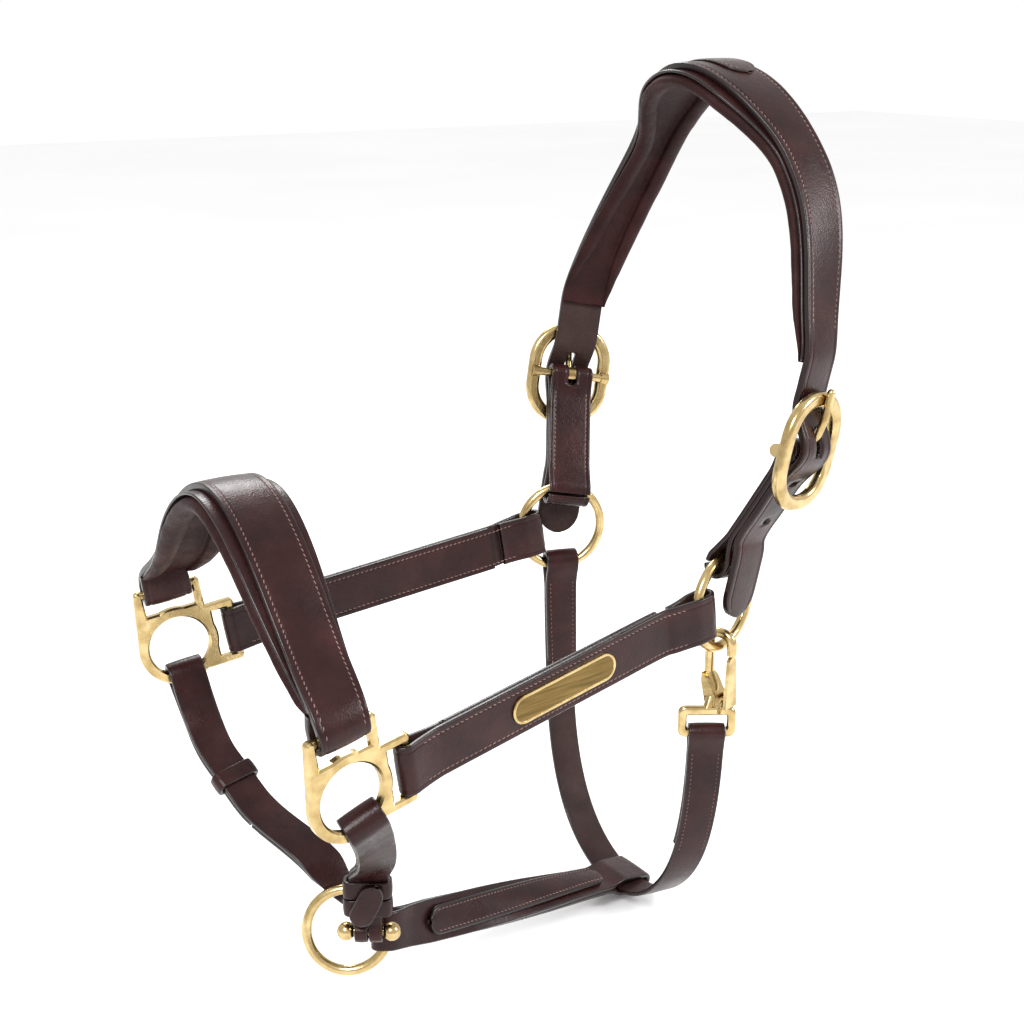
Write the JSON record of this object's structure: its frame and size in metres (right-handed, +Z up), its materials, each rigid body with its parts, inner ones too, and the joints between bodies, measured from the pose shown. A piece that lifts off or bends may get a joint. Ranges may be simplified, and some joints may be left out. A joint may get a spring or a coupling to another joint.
{
  "type": "leather headcollar",
  "caption": "Leather headcollar with padded crown and noseband, brass buckles, rings and squares, a clip-fastened throat strap and a chin ring for a lead rope.",
  "frame": {"origin": "underside of the padded crown at the middle, where it rests on the horse's poll", "axes": "+Z up, +X towards the back of the head, +Y towards the off (right) side; the nose points along -X"},
  "size_m": [0.3176, 0.2258, 0.465],
  "materials": {
    "strap_leather": "satin",
    "padding_leather": "satin",
    "backing_leather": "satin",
    "brass": "polished",
    "nameplate_brass": "brushed"
  },
  "bodies": {
    "headpiece": {"crown_strap": "strap_leather", "crown_backing": "backing_leather", "crown_lining": "padding_leather", "crown_patch": "strap_leather", "near_buckle": "brass", "off_buckle": "brass", "near_buckle_strap": "strap_leather", "off_buckle_strap": "strap_leather"},
    "nosepiece": {"near_cheek_strap": "strap_leather", "near_cheek_lining": "strap_leather", "off_cheek_strap": "strap_leather", "off_cheek_lining": "strap_leather", "nameplate": "nameplate_brass", "near_square": "brass", "off_square": "brass", "noseband_strap": "strap_leather", "noseband_backing": "backing_leather", "noseband_lining": "padding_leather", "near_chin_strap": "strap_leather", "off_chin_strap": "strap_leather", "upper_knot_keeper": "strap_leather", "lower_knot_keeper": "strap_leather", "connecting_strap": "strap_leather", "connecting_filler": "strap_leather", "throat_strap": "strap_leather", "snap_hook": "brass", "snap_pin": "brass"},
    "near_tongue": {"near_tongue": "brass"},
    "off_tongue": {"off_tongue": "brass"},
    "near_ring": {"near_ring": "brass"},
    "off_ring": {"off_ring": "brass"},
    "chin_ring": {"chin_ring": "brass"},
    "halter_bolt": {"halter_bolt": "brass"},
    "chin_keeper": {"chin_keeper": "strap_leather"},
    "snap_gate": {"snap_gate": "brass"}
  },
  "joints": [
    {"name": "nose_swing", "type": "hinge", "parent": "headpiece", "child": "nosepiece", "pos_m": [-0.03753, 0, -0.24948], "axis": [0, 1, 0], "range_deg": [-8, 8]},
    {"name": "near_tongue_swing", "type": "hinge", "parent": "headpiece", "child": "near_tongue", "pos_m": [-0.0145, -0.0992, -0.1668], "axis": [0.9418, 0.2879, -0.1737], "range_deg": [0, 18]},
    {"name": "off_tongue_swing", "type": "hinge", "parent": "headpiece", "child": "off_tongue", "pos_m": [-0.0145, 0.0992, -0.1668], "axis": [-0.9418, 0.2879, 0.1737], "range_deg": [0, 18]},
    {"name": "near_ring_spin", "type": "hinge", "parent": "nosepiece", "child": "near_ring", "pos_m": [-0.03753, -0.07373, -0.24948], "axis": [0.2924, -0.9563, 0], "continuous": true},
    {"name": "off_ring_spin", "type": "hinge", "parent": "nosepiece", "child": "off_ring", "pos_m": [-0.03753, 0.07373, -0.24948], "axis": [0.2924, 0.9563, 0], "continuous": true},
    {"name": "chin_ring_spin", "type": "hinge", "parent": "nosepiece", "child": "chin_ring", "pos_m": [-0.2305, -0.02382, -0.402], "axis": [0.5261, 0.8101, -0.2588], "continuous": true},
    {"name": "bolt_spin", "type": "hinge", "parent": "nosepiece", "child": "halter_bolt", "pos_m": [-0.2267, -0.04, -0.3955], "axis": [0.8387, -0.5446, 0], "continuous": true},
    {"name": "keeper_slide", "type": "slide", "parent": "nosepiece", "child": "chin_keeper", "axis": [0.2214, -0.7988, -0.5594], "range_m": [-0.012, 0.012]},
    {"name": "gate_swing", "type": "hinge", "parent": "nosepiece", "child": "snap_gate", "pos_m": [-0.03665, -0.0766, -0.30348], "axis": [-0.9563, -0.2924, 0], "range_deg": [0, 20], "stiffness_Nm_per_rad": 0.02, "springref_deg": -10.03}
  ]
}
